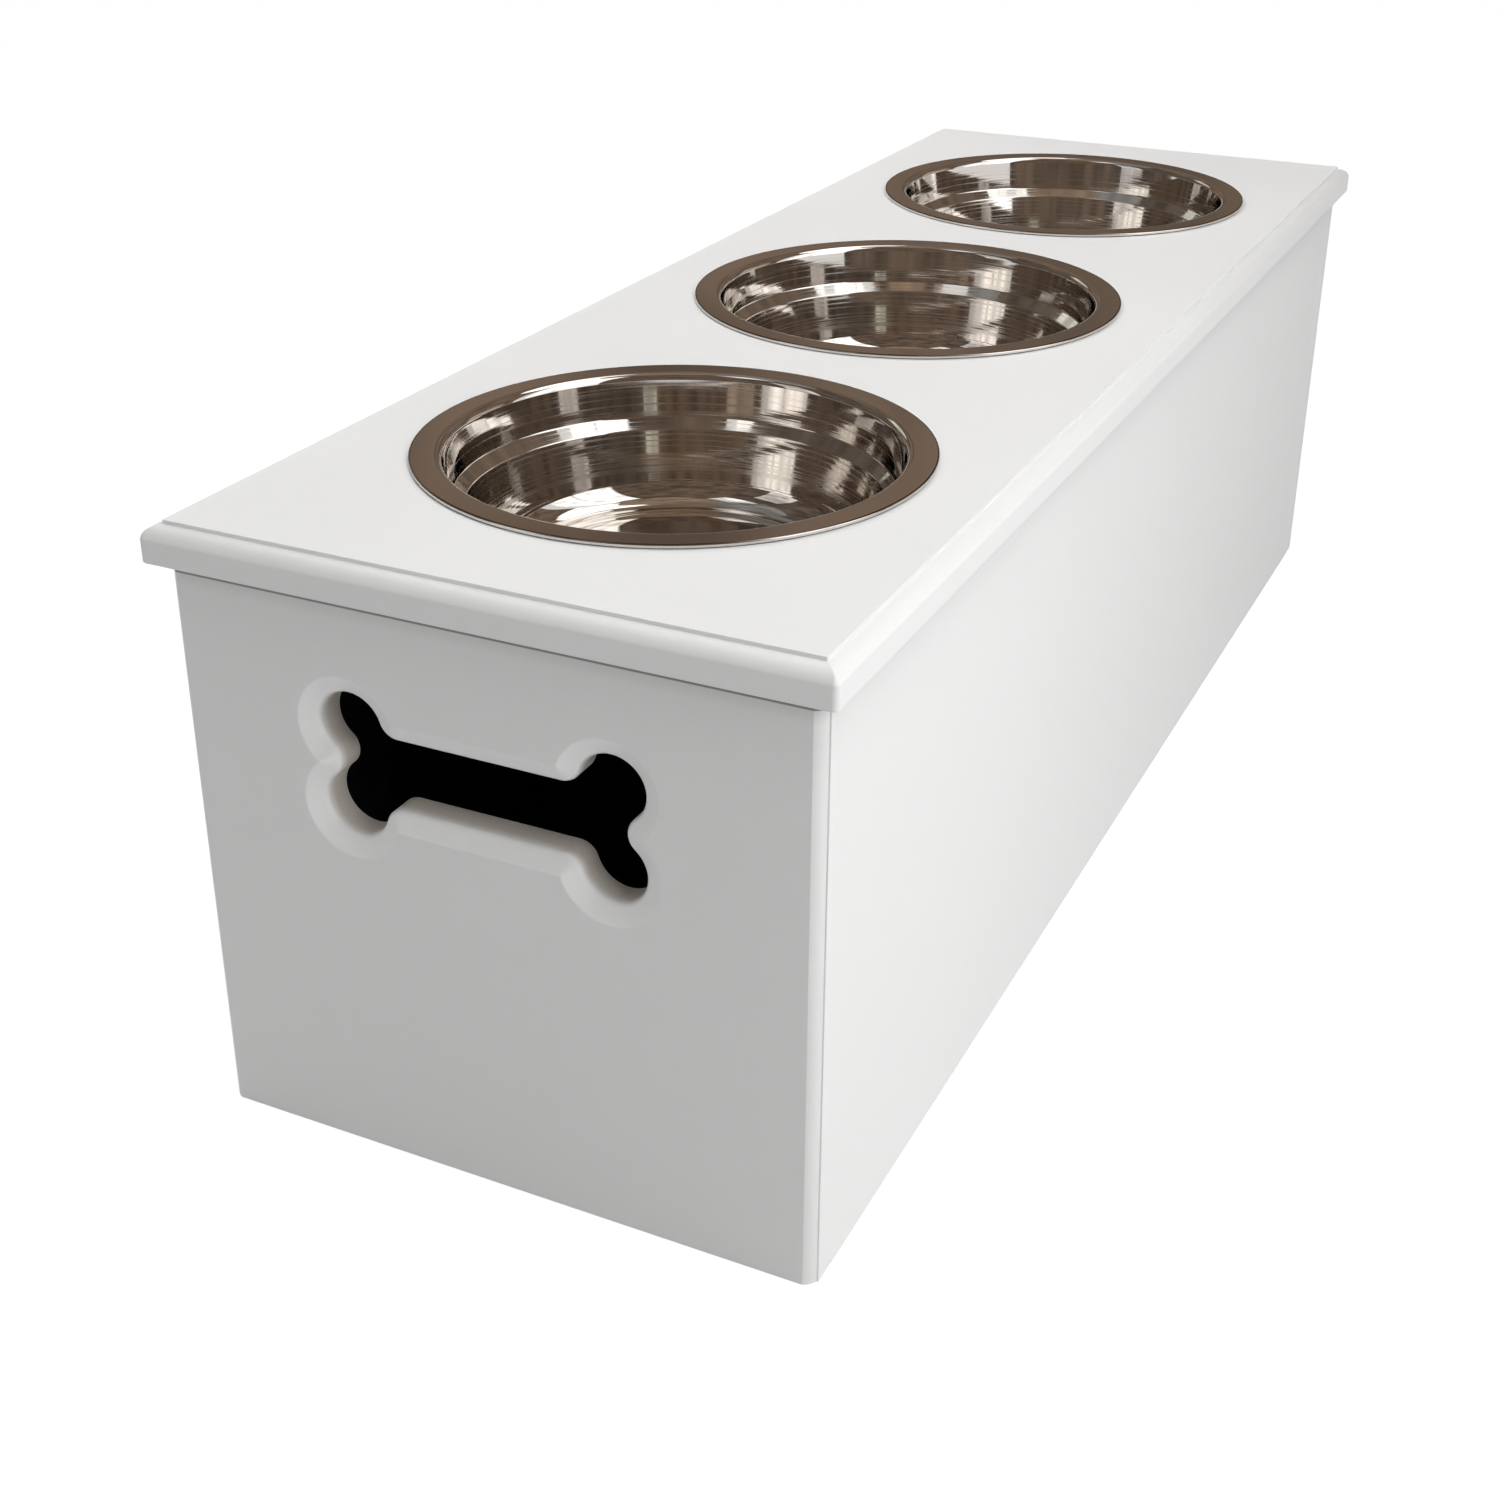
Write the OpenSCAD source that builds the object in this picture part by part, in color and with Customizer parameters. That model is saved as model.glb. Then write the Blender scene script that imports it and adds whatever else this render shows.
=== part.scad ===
// Elevated dog feeder with a storage box under a lift-off lid that holds three bowls.
// The box stands on the XY plane, its length runs along Y and its front end faces -Y.

/* [Box] */
// Height of the box without its lid
box_h = 273; // [255:1:330]
// Thickness of the four wall boards
board_t = 18; // [16:0.5:20]
// Radius of the rounded upright corners
corner_r = 4.5; // [2:0.25:6]
// Step left beside each rounded corner on the side faces
corner_step = 0.8; // [0.4:0.1:1.2]

/* [Hand hole] */
// Height of the hand hole's centre above the floor
hole_z = 194.5; // [170:0.5:205]
// Sideways place of the hand hole's centre, seen from outside
hole_x = -4; // [-10:0.5:10]
// Distance of the bone's end lobes from its centre, along the bone
lobe_x = 61.5; // [50:0.5:70]
// Distance of the bone's end lobes from its centre, across the bone
lobe_z = 18.5; // [17:0.1:21]
// Radius of the bone's end lobes
lobe_r = 15; // [13:0.5:17]
// Half height of the bone's shaft
shaft_half = 16.5; // [14:0.1:18]
// Radius of the hollows between the lobes and beside the shaft
hollow_r = 9; // [9:0.1:10]
// Width of the bevel around the hand hole
bevel_w = 8.5; // [6:0.25:8.75]
// Depth at which the bevel would meet the hole's wall
bevel_d = 4; // [3:0.25:6]
// Radius that blends the bevel into the hole's wall
bevel_r = 4; // [2:0.25:5]

/* [Lid] */
// Thickness of the lid board
lid_t = 18; // [16:0.5:22]
// Overhang of the lid past the box on all four sides
lid_over = 7; // [4:0.5:12]
// Radius of the rounded upper edge
edge_r = 7.5; // [5:0.25:9]
// Upright step between the rounded edge and the top face
edge_step = 1.8; // [0.8:0.1:2.4]
// Radius of the lid's upright corners, seen from above
lid_corner_r = 2.5; // [1:0.25:5]
// Radius of the eased lower edge
under_r = 1; // [0.5:0.1:1.5]

/* [Bowls] */
// Width of the lid left between neighbouring bowls
bowl_gap = 44.2; // [20:0.1:70]
// Width of the lid left between the end bowls and the lid's ends
bowl_margin = 58.6; // [52:0.1:90]
// Width of the lid left between the bowls and the lid's long edges
side_margin = 38.1; // [36.5:0.1:60]
// Radius of the mouth where the wall begins
mouth_r = 104; // [85:0.5:120]
// Width of the flange from the mouth to the middle of its rolled rim
flange_w = 13.8; // [11.5:0.1:20]
// Radius of the rolled rim's roll
rim_r = 1.1; // [1:0.05:1.4]
// Height pressed flat off the underside of the rolled rim
rim_flat = 0.1; // [0.05:0.05:0.2]
// Thickness of the bowl's sheet metal
sheet_t = 1; // [0.7:0.1:1.2]
// Radius of the bend from the flange into the wall
mouth_bend = 3; // [2:0.25:4]
// How far the wall draws in from the mouth down to the shoulder
wall_in = 3; // [2.5:0.25:5]
// Depth of the shoulder's upper edge below the lid's top face
shoulder_z = 19; // [15:0.5:24]
// Depth of the sloping shoulder
shoulder_h = 5; // [3:0.25:6]
// Width of the sloping shoulder
shoulder_w = 5; // [3:0.25:6]
// How far the wall and its lower curve draw in from the shoulder to the flat floor
floor_in = 20; // [18:0.5:28]
// Radius of the curve from the floor into the wall
heel_r = 15; // [11:0.5:17]
// Slope at which the wall meets that curve, in degrees from upright
heel_a = 19; // [14:0.5:24]
// Depth of the floor below the lid's top face
bowl_depth = 60; // [56:0.5:70]
// Free space around the bowl's wall in the lid's cut-out
bowl_play = 2; // [1:0.25:4]

/* [Inside] */
// Thickness of the base board
base_t = 12; // [9:0.5:15]
// Height of the base board's underside above the floor
base_z = 24; // [22:1:32]
// Free space round the base board
base_play = 0.5; // [0.25:0.25:1]
// Width and height of the battens
batten = 18; // [16:0.5:20]
// Width of the square corner blocks
block = 20; // [18:0.5:24]
// Free space between the lid's battens and the box
lid_play = 1.5; // [0.5:0.25:2]
// Distance of the lid's long battens from the end boards
locator_inset = 60; // [50:1:100]
// Free height between the corner blocks and the lid's battens
block_gap = 4; // [2:0.5:8]

/* [Screws] */
// Radius of the screw's shank
screw_r = 2; // [1.5:0.1:2.5]
// Radius of the screw's countersunk head
head_r = 4; // [3:0.1:4.5]
// Height of the countersunk head
head_h = 2.6; // [2:0.1:3]
// Length of the screw's point
point_l = 5; // [3:0.5:7]
// Radius of the blunt end of the screw's point
point_r = 0.4; // [0.2:0.1:0.8]
// Length across the cross in the screw's head
cross_l = 4.4; // [3:0.1:5]
// Width of the cross in the screw's head
cross_w = 0.9; // [0.6:0.1:1.2]
// Depth of the cross in the screw's head
cross_d = 1.4; // [0.8:0.1:1.8]
// Wood left in front of each screw's point
screw_cover = 6; // [4:0.5:9]
// Free space around each screw in its hole
screw_play = 0.05; // [0.02:0.01:0.1]
// Distance of a corner block's first and last screw from its ends
block_margin = 30; // [20:1:40]
// Height between the two rows of screws in a corner block
row_shift = 12; // [8:1:16]
// Distance of the first and last screw from a wall batten's ends
batten_margin = 50; // [35:1:60]
// Distance of the first and last base screw from the end boards
base_margin = 100; // [85:1:115]
// Distance of the first and last screw from a lid batten's ends
locator_margin = 40; // [30:1:60]

/* [Hidden] */
$fn = 64;

paint = [0.93, 0.93, 0.92];
dark_paint = [0.10, 0.10, 0.11];
steel = [0.72, 0.69, 0.66];
zinc = [0.80, 0.78, 0.66];

// Length by which a cutting shape runs past the faces it cuts
past = 1;

// The bowls set the size of the lid, and the lid sets the length and width of the box
flange_r = mouth_r + flange_w;
shoulder_r = mouth_r - wall_in;
floor_r = shoulder_r - shoulder_w - floor_in;
bowl_out_r = flange_r + rim_r;
bowl_pitch = 2 * bowl_out_r + bowl_gap;
lid_w = 2 * (bowl_out_r + side_margin);
lid_l = 2 * (bowl_pitch + bowl_out_r + bowl_margin);
box_w = lid_w - 2 * lid_over;
box_l = lid_l - 2 * lid_over;

inner_w = box_w - 2 * board_t;
inner_l = box_l - 2 * board_t;
base_top = base_z + base_t;

arc_z = lid_t - edge_step - edge_r;
lid_top = box_h + lid_t;
cut_r = mouth_r + sheet_t + bowl_play;
flange_h = 2 * rim_r - rim_flat;

block_h = box_h - batten - block_gap - base_top;
batten_len = inner_w - 2 * batten;
locator_x = inner_w / 2 - lid_play - batten / 2;
locator_y = inner_l / 2 - lid_play - batten / 2;
locator_long = inner_l - 2 * locator_inset;
locator_short = inner_w - 2 * block - 2 * lid_play;

// Each screw passes through the loose piece and ends inside the board behind it
block_screw = block + board_t - screw_cover;
batten_screw = batten + board_t - screw_cover;
base_screw = base_t + batten - screw_cover;
locator_screw = batten + lid_t - screw_cover;

// Turns that point a screw, whose shank runs down from its head
DOWN = [0, 0, 0];
UP = [180, 0, 0];
TO_FRONT = [-90, 0, 0];
TO_REAR = [90, 0, 0];
TO_LEFT = [0, 90, 0];
TO_RIGHT = [0, -90, 0];

SIDES = [-1, 1];
BLOCK_ROWS = 3;
LONG_BATTEN_ROWS = 5;
LONG_LOCATOR_ROWS = 4;
BASE_ROWS = 4;
SHORT_ROWS = 2;

// Even places along a length around zero, with a margin at both ends
function spread(length, margin, count) =
    [for (i = [0 : count - 1]) -length / 2 + margin + i * (length - 2 * margin) / (count - 1)];

// Screw places: where the head's face lies, and the turn of the screw
block_mid_z = base_top + block_h / 2;
block_places = [
    for (sx = SIDES) for (sy = SIDES) for (dz = spread(block_h, block_margin, BLOCK_ROWS)) each [
        [
            [sx * (inner_w - block) / 2, sy * (inner_l / 2 - block), block_mid_z + dz - row_shift / 2],
            sy < 0 ? TO_FRONT : TO_REAR
        ],
        [
            [sx * (inner_w / 2 - block), sy * (inner_l - block) / 2, block_mid_z + dz + row_shift / 2],
            sx < 0 ? TO_LEFT : TO_RIGHT
        ]
    ]
];

batten_mid_z = base_z - batten / 2;
batten_places = concat(
    [
        for (sx = SIDES) for (y = spread(inner_l, batten_margin, LONG_BATTEN_ROWS))
            [[sx * (inner_w / 2 - batten), y, batten_mid_z], sx < 0 ? TO_LEFT : TO_RIGHT]
    ],
    [
        for (sy = SIDES) for (x = spread(batten_len, batten_margin, SHORT_ROWS))
            [[x, sy * (inner_l / 2 - batten), batten_mid_z], sy < 0 ? TO_FRONT : TO_REAR]
    ]
);

base_places = [
    for (sx = SIDES) for (y = spread(inner_l, base_margin, BASE_ROWS))
        [[sx * (inner_w - batten) / 2, y, base_top], DOWN]
];

locator_places = concat(
    [
        for (sx = SIDES) for (y = spread(locator_long, locator_margin, LONG_LOCATOR_ROWS))
            [[sx * locator_x, y, box_h - batten], UP]
    ],
    [
        for (sy = SIDES) for (x = spread(locator_short, locator_margin, SHORT_ROWS))
            [[x, sy * locator_y, box_h - batten], UP]
    ]
);

function pointing(places, way) = [for (p = places) if (p[1] == way) p];
function on_side(places, axis, side) = [for (p = places) if (sign(p[0][axis]) == side) p];

// Bone outline: lobes, hollows between them and straight shaft, as arcs that run on smoothly
notch_x = lobe_x + sqrt(pow(lobe_r + hollow_r, 2) - pow(lobe_z, 2));
shaft_z = shaft_half + hollow_r;
shaft_x = lobe_x - sqrt(pow(lobe_r + hollow_r, 2) - pow(shaft_z - lobe_z, 2));
notch_a = atan2(lobe_z, notch_x - lobe_x);
shaft_a = atan2(shaft_z - lobe_z, shaft_x - lobe_x);
lobe_steps = 18;
notch_steps = 3;
shaft_steps = 5;

function arc(x, z, r, from, to, steps) =
    [for (i = [1 : steps]) let (a = from + (to - from) * i / steps) [x + r * cos(a), z + r * sin(a)]];

function bone_top(grow) = concat(
    arc(notch_x, 0, hollow_r - grow, 180, 180 - notch_a, notch_steps),
    arc(lobe_x, lobe_z, lobe_r + grow, -notch_a, shaft_a, lobe_steps),
    arc(shaft_x, shaft_z, hollow_r - grow, shaft_a - 180, -90, shaft_steps),
    [[-shaft_x, shaft_half + grow]],
    arc(-shaft_x, shaft_z, hollow_r - grow, -90, -shaft_a, shaft_steps),
    arc(-lobe_x, lobe_z, lobe_r + grow, 180 - shaft_a, 180 + notch_a, lobe_steps),
    arc(-notch_x, 0, hollow_r - grow, notch_a, 0, notch_steps)
);

function bone(grow) = let (top = bone_top(grow)) concat(top, [for (p = top) -p]);

// Which inner point each piece of the outline is closed to: 0 the middle, 1 to 4 the lobes
hub_top = concat(
    [for (i = [1 : notch_steps]) 0],
    [for (i = [1 : lobe_steps + shaft_steps]) 1],
    [0],
    [for (i = [1 : lobe_steps + shaft_steps]) 2],
    [for (i = [1 : notch_steps]) 0]
);
hubs = concat(hub_top, [for (h = hub_top) h == 0 ? 0 : h + 2]);
hub_in = 0.75;
hub_points = [
    [0, 0],
    [lobe_x, lobe_z * hub_in], [-lobe_x, lobe_z * hub_in],
    [-lobe_x, -lobe_z * hub_in], [lobe_x, -lobe_z * hub_in]
];

// Edge of the hand hole from the outer face inward, as margin and depth
bevel_a = atan2(bevel_w, bevel_d);
bevel_end = bevel_d + bevel_r * tan(bevel_a / 2);
bevel_steps = 5;
hole_edge = concat(
    [[bevel_w, -past], [bevel_w, 0]],
    [
        for (i = [0 : bevel_steps]) let (a = bevel_a * (1 - i / bevel_steps))
            [bevel_r * (1 - cos(a)), bevel_end - bevel_r * sin(a)]
    ],
    [[0, board_t + past]]
);

module bone_cutter() {
    rings = [for (e = hole_edge) [for (p = bone(e[0])) [hole_x + p[0], e[1] - box_l / 2, hole_z + p[1]]]];
    count = len(rings[0]);
    last = len(rings) - 1;
    near = (last + 1) * count;
    far = near + len(hub_points);
    hub_ring = [
        for (i = [0, last]) for (h = hub_points)
            [hole_x + h[0], hole_edge[i][1] - box_l / 2, hole_z + h[1]]
    ];
    walls = [
        for (i = [0 : last - 1]) for (j = [0 : count - 1]) let (k = (j + 1) % count) each [
            [i * count + j, i * count + k, (i + 1) * count + k],
            [i * count + j, (i + 1) * count + k, (i + 1) * count + j]
        ]
    ];
    // An end face joins each piece of outline to its inner point, and neighbouring inner points
    far_end = [
        for (j = [0 : count - 1]) let (k = (j + 1) % count, from = last * count) each concat(
            [[far + hubs[k], from + j, from + k]],
            hubs[j] == hubs[k] ? [] : [[far + hubs[j], from + j, far + hubs[k]]]
        )
    ];
    near_end = [
        for (j = [0 : count - 1]) let (k = (j + 1) % count) each concat(
            [[near + hubs[k], k, j]],
            hubs[j] == hubs[k] ? [] : [[near + hubs[j], near + hubs[k], j]]
        )
    ];
    polyhedron(points = concat([for (r = rings) each r], hub_ring), faces = concat(walls, far_end, near_end));
}

module screw_form(length, grow) {
    translate([0, 0, -head_h - grow])
        cylinder(h = head_h + grow, r1 = screw_r + grow, r2 = head_r + grow);
    translate([0, 0, point_l - length - grow])
        cylinder(h = length - point_l, r = screw_r + grow);
    translate([0, 0, -length - grow])
        cylinder(h = point_l, r1 = point_r + grow, r2 = screw_r + grow);
}

module screws(places, length) {
    color(zinc)
        for (p = places) {
            translate(p[0]) rotate(p[1]) difference() {
                screw_form(length, 0);
                translate([-cross_l / 2, -cross_w / 2, -cross_d]) cube([cross_l, cross_w, cross_d + past]);
                translate([-cross_w / 2, -cross_l / 2, -cross_d]) cube([cross_w, cross_l, cross_d + past]);
            }
        }
}

module screw_holes(places, length) {
    for (p = places) {
        translate(p[0]) rotate(p[1]) {
            screw_form(length, screw_play);
            cylinder(h = past, r = head_r + screw_play);
        }
    }
}

// Plan of the front end board with its two rounded corners
module end_plan() {
    arc_x = box_w / 2 - corner_step - corner_r;
    translate([-box_w / 2, corner_r - box_l / 2]) square([box_w, board_t - corner_r]);
    translate([-arc_x, -box_l / 2]) square([2 * arc_x, board_t]);
    for (sx = SIDES) {
        translate([sx * arc_x, corner_r - box_l / 2]) circle(r = corner_r);
    }
}

module end_board(way) {
    color(paint) difference() {
        rotate(way == TO_REAR ? 180 : 0) difference() {
            linear_extrude(height = box_h) end_plan();
            bone_cutter();
        }
        screw_holes(pointing(block_places, way), block_screw);
        screw_holes(pointing(batten_places, way), batten_screw);
    }
}

module front_end_panel() {
    end_board(TO_FRONT);
}

module rear_end_panel() {
    end_board(TO_REAR);
}

module side_board(side, way) {
    color(paint) difference() {
        translate([side * (box_w - board_t) / 2 - board_t / 2, -inner_l / 2, 0]) cube([board_t, inner_l, box_h]);
        screw_holes(pointing(block_places, way), block_screw);
        screw_holes(pointing(batten_places, way), batten_screw);
    }
}

module left_side_panel() {
    side_board(-1, TO_LEFT);
}

module right_side_panel() {
    side_board(1, TO_RIGHT);
}

module base_panel() {
    base_w = inner_w - 2 * base_play;
    base_l = inner_l - 2 * base_play;
    color(dark_paint) difference() {
        translate([-base_w / 2, -base_l / 2, base_z]) cube([base_w, base_l, base_t]);
        screw_holes(base_places, base_screw);
    }
}

module long_batten(side) {
    color(dark_paint) difference() {
        translate([side * (inner_w - batten) / 2 - batten / 2, -inner_l / 2, base_z - batten])
            cube([batten, inner_l, batten]);
        screw_holes(on_side(base_places, 0, side), base_screw);
        screw_holes(pointing(batten_places, side < 0 ? TO_LEFT : TO_RIGHT), batten_screw);
    }
}

module short_batten(side) {
    color(dark_paint) difference() {
        translate([-batten_len / 2, side * (inner_l - batten) / 2 - batten / 2, base_z - batten])
            cube([batten_len, batten, batten]);
        screw_holes(pointing(batten_places, side < 0 ? TO_FRONT : TO_REAR), batten_screw);
    }
}

module base_batten_front() {
    short_batten(-1);
}

module base_batten_rear() {
    short_batten(1);
}

module base_batten_left() {
    long_batten(-1);
}

module base_batten_right() {
    long_batten(1);
}

module corner_block(side_x, side_y) {
    color(dark_paint) difference() {
        translate([side_x * (inner_w - block) / 2, side_y * (inner_l - block) / 2, base_top + block_h / 2])
            cube([block, block, block_h], center = true);
        screw_holes(on_side(on_side(block_places, 0, side_x), 1, side_y), block_screw);
    }
}

module corner_block_front_left() {
    corner_block(-1, -1);
}

module corner_block_front_right() {
    corner_block(1, -1);
}

module corner_block_rear_left() {
    corner_block(-1, 1);
}

module corner_block_rear_right() {
    corner_block(1, 1);
}

// Section of the lid's edge, out to a given half width, with its underside at zero
module lid_section(half) {
    square([half - edge_r, lid_t]);
    translate([0, under_r]) square([half, arc_z - under_r]);
    square([half - under_r, arc_z]);
    translate([half - edge_r, arc_z]) circle(r = edge_r);
    translate([half - under_r, under_r]) circle(r = under_r);
}

module lid_bar(half, length) {
    rotate([90, 0, 0]) linear_extrude(height = length, center = true) {
        lid_section(half);
        mirror([1, 0]) lid_section(half);
    }
}

// Plan of the lid with its rounded corners
module lid_plan() {
    corner_x = lid_w / 2 - lid_corner_r;
    corner_y = lid_l / 2 - lid_corner_r;
    square([lid_w, 2 * corner_y], center = true);
    square([2 * corner_x, lid_l], center = true);
    for (sx = SIDES) for (sy = SIDES) {
        translate([sx * corner_x, sy * corner_y]) circle(r = lid_corner_r);
    }
}

module lid_board() {
    color(paint) difference() {
        translate([0, 0, box_h]) intersection() {
            lid_bar(lid_w / 2, lid_l + 2 * past);
            rotate(90) lid_bar(lid_l / 2, lid_w + 2 * past);
            linear_extrude(height = lid_t) lid_plan();
        }
        for (i = [-1 : 1]) {
            translate([0, i * bowl_pitch, box_h - past]) cylinder(h = lid_t + 2 * past, r = cut_r);
        }
        screw_holes(locator_places, locator_screw);
    }
}

module locator(at, size) {
    inside = [
        for (p = locator_places)
            if (abs(p[0][0] - at[0]) < size[0] / 2 && abs(p[0][1] - at[1]) < size[1] / 2) p
    ];
    color(paint) difference() {
        translate([at[0], at[1], box_h - batten / 2]) cube([size[0], size[1], batten], center = true);
        screw_holes(inside, locator_screw);
    }
}

module lid_locator_front() {
    locator([0, -locator_y], [locator_short, batten]);
}

module lid_locator_rear() {
    locator([0, locator_y], [locator_short, batten]);
}

module lid_locator_left() {
    locator([-locator_x, 0], [batten, locator_long]);
}

module lid_locator_right() {
    locator([locator_x, 0], [batten, locator_long]);
}

// Bowl section: one face from the flange's inner edge down to the middle of the floor
bend_x = mouth_r + mouth_bend;
bend_z = flange_h - mouth_bend;
heel_z = heel_r - bowl_depth;
rim_z = flange_h - rim_r;
rim_in_a = asin((rim_r - sheet_t) / rim_r);
rim_flat_a = asin(rim_z / rim_r);
bend_steps = 8;
heel_steps = 10;

function sweep(x, z, r, from, to, steps) = concat([[x + r * cos(from), z + r * sin(from)]],
    arc(x, z, r, from, to, steps));

function bowl_face(grow) = let (drop = grow * tan(atan2(shoulder_w, shoulder_h) / 2)) concat(
    sweep(bend_x, bend_z, mouth_bend - grow, 90, 180, bend_steps),
    [
        [shoulder_r + grow, -shoulder_z - drop],
        [shoulder_r - shoulder_w + grow, -shoulder_z - shoulder_h - drop]
    ],
    sweep(floor_r, heel_z, heel_r + grow, -heel_a, -90, heel_steps),
    [[0, -bowl_depth - grow]]
);

module bowl(row) {
    under = bowl_face(sheet_t);
    section = concat(
        bowl_face(0),
        [for (i = [len(under) - 1 : -1 : 0]) under[i]],
        sweep(flange_r, rim_z, rim_r, 180 - rim_in_a, 180 + rim_flat_a, bend_steps / 2),
        sweep(flange_r, rim_z, rim_r, -rim_flat_a, 90, bend_steps)
    );
    color(steel) translate([0, row * bowl_pitch, lid_top]) rotate_extrude() polygon(section);
}

module front_bowl() {
    bowl(-1);
}

module middle_bowl() {
    bowl(0);
}

module rear_bowl() {
    bowl(1);
}

module corner_block_screws() {
    screws(block_places, block_screw);
}

module base_batten_screws() {
    screws(batten_places, batten_screw);
}

module base_screws() {
    screws(base_places, base_screw);
}

module lid_locator_screws() {
    screws(locator_places, locator_screw);
}

front_end_panel();
rear_end_panel();
left_side_panel();
right_side_panel();
base_panel();
base_batten_front();
base_batten_rear();
base_batten_left();
base_batten_right();
corner_block_front_left();
corner_block_front_right();
corner_block_rear_left();
corner_block_rear_right();
lid_board();
lid_locator_front();
lid_locator_rear();
lid_locator_left();
lid_locator_right();
front_bowl();
middle_bowl();
rear_bowl();
corner_block_screws();
base_batten_screws();
base_screws();
lid_locator_screws();
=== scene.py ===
# %% [markdown]
# # An elevated dog feeder with storage
# The feeder is a long white box with a lift-off lid. Three steel bowls hang in the lid, and a bone-shaped hand hole
# is cut in each end board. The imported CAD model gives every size, and this lesson dresses it: it rebuilds the boards
# whose soft painted edges catch the light, turns the bowls, sets the screws and gives each surface its finish.

# %% Load the frame
import math

import bmesh
import bpy
from mathutils import Matrix, Vector
from mathutils.geometry import tessellate_polygon


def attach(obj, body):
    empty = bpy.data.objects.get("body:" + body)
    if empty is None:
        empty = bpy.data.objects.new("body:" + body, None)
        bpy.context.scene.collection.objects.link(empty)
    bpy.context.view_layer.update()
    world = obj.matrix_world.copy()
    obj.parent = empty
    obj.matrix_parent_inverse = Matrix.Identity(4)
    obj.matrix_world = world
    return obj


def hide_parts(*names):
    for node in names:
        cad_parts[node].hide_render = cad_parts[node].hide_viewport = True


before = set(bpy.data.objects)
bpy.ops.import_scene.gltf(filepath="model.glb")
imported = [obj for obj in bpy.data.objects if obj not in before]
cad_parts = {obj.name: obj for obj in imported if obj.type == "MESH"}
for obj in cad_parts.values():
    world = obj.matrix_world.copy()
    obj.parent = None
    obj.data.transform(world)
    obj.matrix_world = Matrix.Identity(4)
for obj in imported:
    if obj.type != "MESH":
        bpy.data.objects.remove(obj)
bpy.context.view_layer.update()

# %% [markdown]
# ## Sizes
# The sizes are those of the CAD model, in millimetres, because a woodworker reads a drawing that way. Blender works
# in metres, so every mesh is made in millimetres and scaled once, when it becomes an object.

# %% Sizes in millimetres, and how an object enters the scene
MM = 0.001
BOX_W, BOX_L, BOX_H = 300, 905, 273
BOARD, LID_T, LID_OVER = 18, 18, 7
CORNER_R, CORNER_STEP = 4.5, 0.8
LID_TOP = BOX_H + LID_T
PITCH = 282
CUT_R = 107
ROWS = (-1, 0, 1)


def scene_object(name, data):
    thing = bpy.data.objects.new(name, data)
    bpy.context.scene.collection.objects.link(thing)
    return thing


print("bowl centres along the lid:", [row * PITCH for row in ROWS])

# %% [markdown]
# ## The camera
# The photograph was taken from in front, to the right and above, with the near corner of the box close to the lens.
# The camera's place and turn were worked out from the box's corners in the photograph. A small lens shift puts the
# object where it is in the frame, since the photograph was cropped.

# %% Camera
camera = scene_object("photo_camera", bpy.data.cameras.new("photo_camera"))
bpy.context.scene.camera = camera
camera.data.sensor_width = 36
camera.data.lens = 49.7647
camera.data.shift_x, camera.data.shift_y = -0.0023134, -0.057666
RIGHT = Vector((0.902608, 0.430431, 0.005329))
DOWN = Vector((0.190441, -0.388188, -0.901688))
AHEAD = Vector((-0.386046, 0.814886, -0.432353))
turn = Matrix((RIGHT, -DOWN, -AHEAD)).transposed().to_4x4()
camera.matrix_world = Matrix.Translation((0.410798, -1.065299, 0.607677)) @ turn
camera.data.clip_start, camera.data.clip_end = 0.05, 50
NEAR_CORNER = Vector((BOX_W / 2, -BOX_L / 2, LID_TOP)) * MM
print("camera to the box's near corner:", round((camera.location - NEAR_CORNER).length, 3), "m")

# %% [markdown]
# ## Node trees as arithmetic
# A material is a little calculation that Blender runs at each point of a surface. Written with the mouse it is a web
# of boxes and lines. Here a small class wraps a socket, so that `rings * 0.4 + 0.1` adds the Math nodes itself, and
# one method adds every other kind of node. The same class serves the shader trees and the geometry trees.


# %% Wires and recipes
class Wire:
    """An output of a node. Arithmetic on it adds Math nodes to its recipe."""

    def __init__(self, recipe, socket):
        self.recipe = recipe
        self.socket = socket

    def __add__(self, other):
        return self.recipe.maths("ADD", self, other)

    def __radd__(self, other):
        return self.recipe.maths("ADD", other, self)

    def __sub__(self, other):
        return self.recipe.maths("SUBTRACT", self, other)

    def __rsub__(self, other):
        return self.recipe.maths("SUBTRACT", other, self)

    def __mul__(self, other):
        return self.recipe.maths("MULTIPLY", self, other)

    def __truediv__(self, other):
        return self.recipe.maths("DIVIDE", self, other)

    def __neg__(self):
        return self.recipe.maths("MULTIPLY", self, -1)


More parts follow.
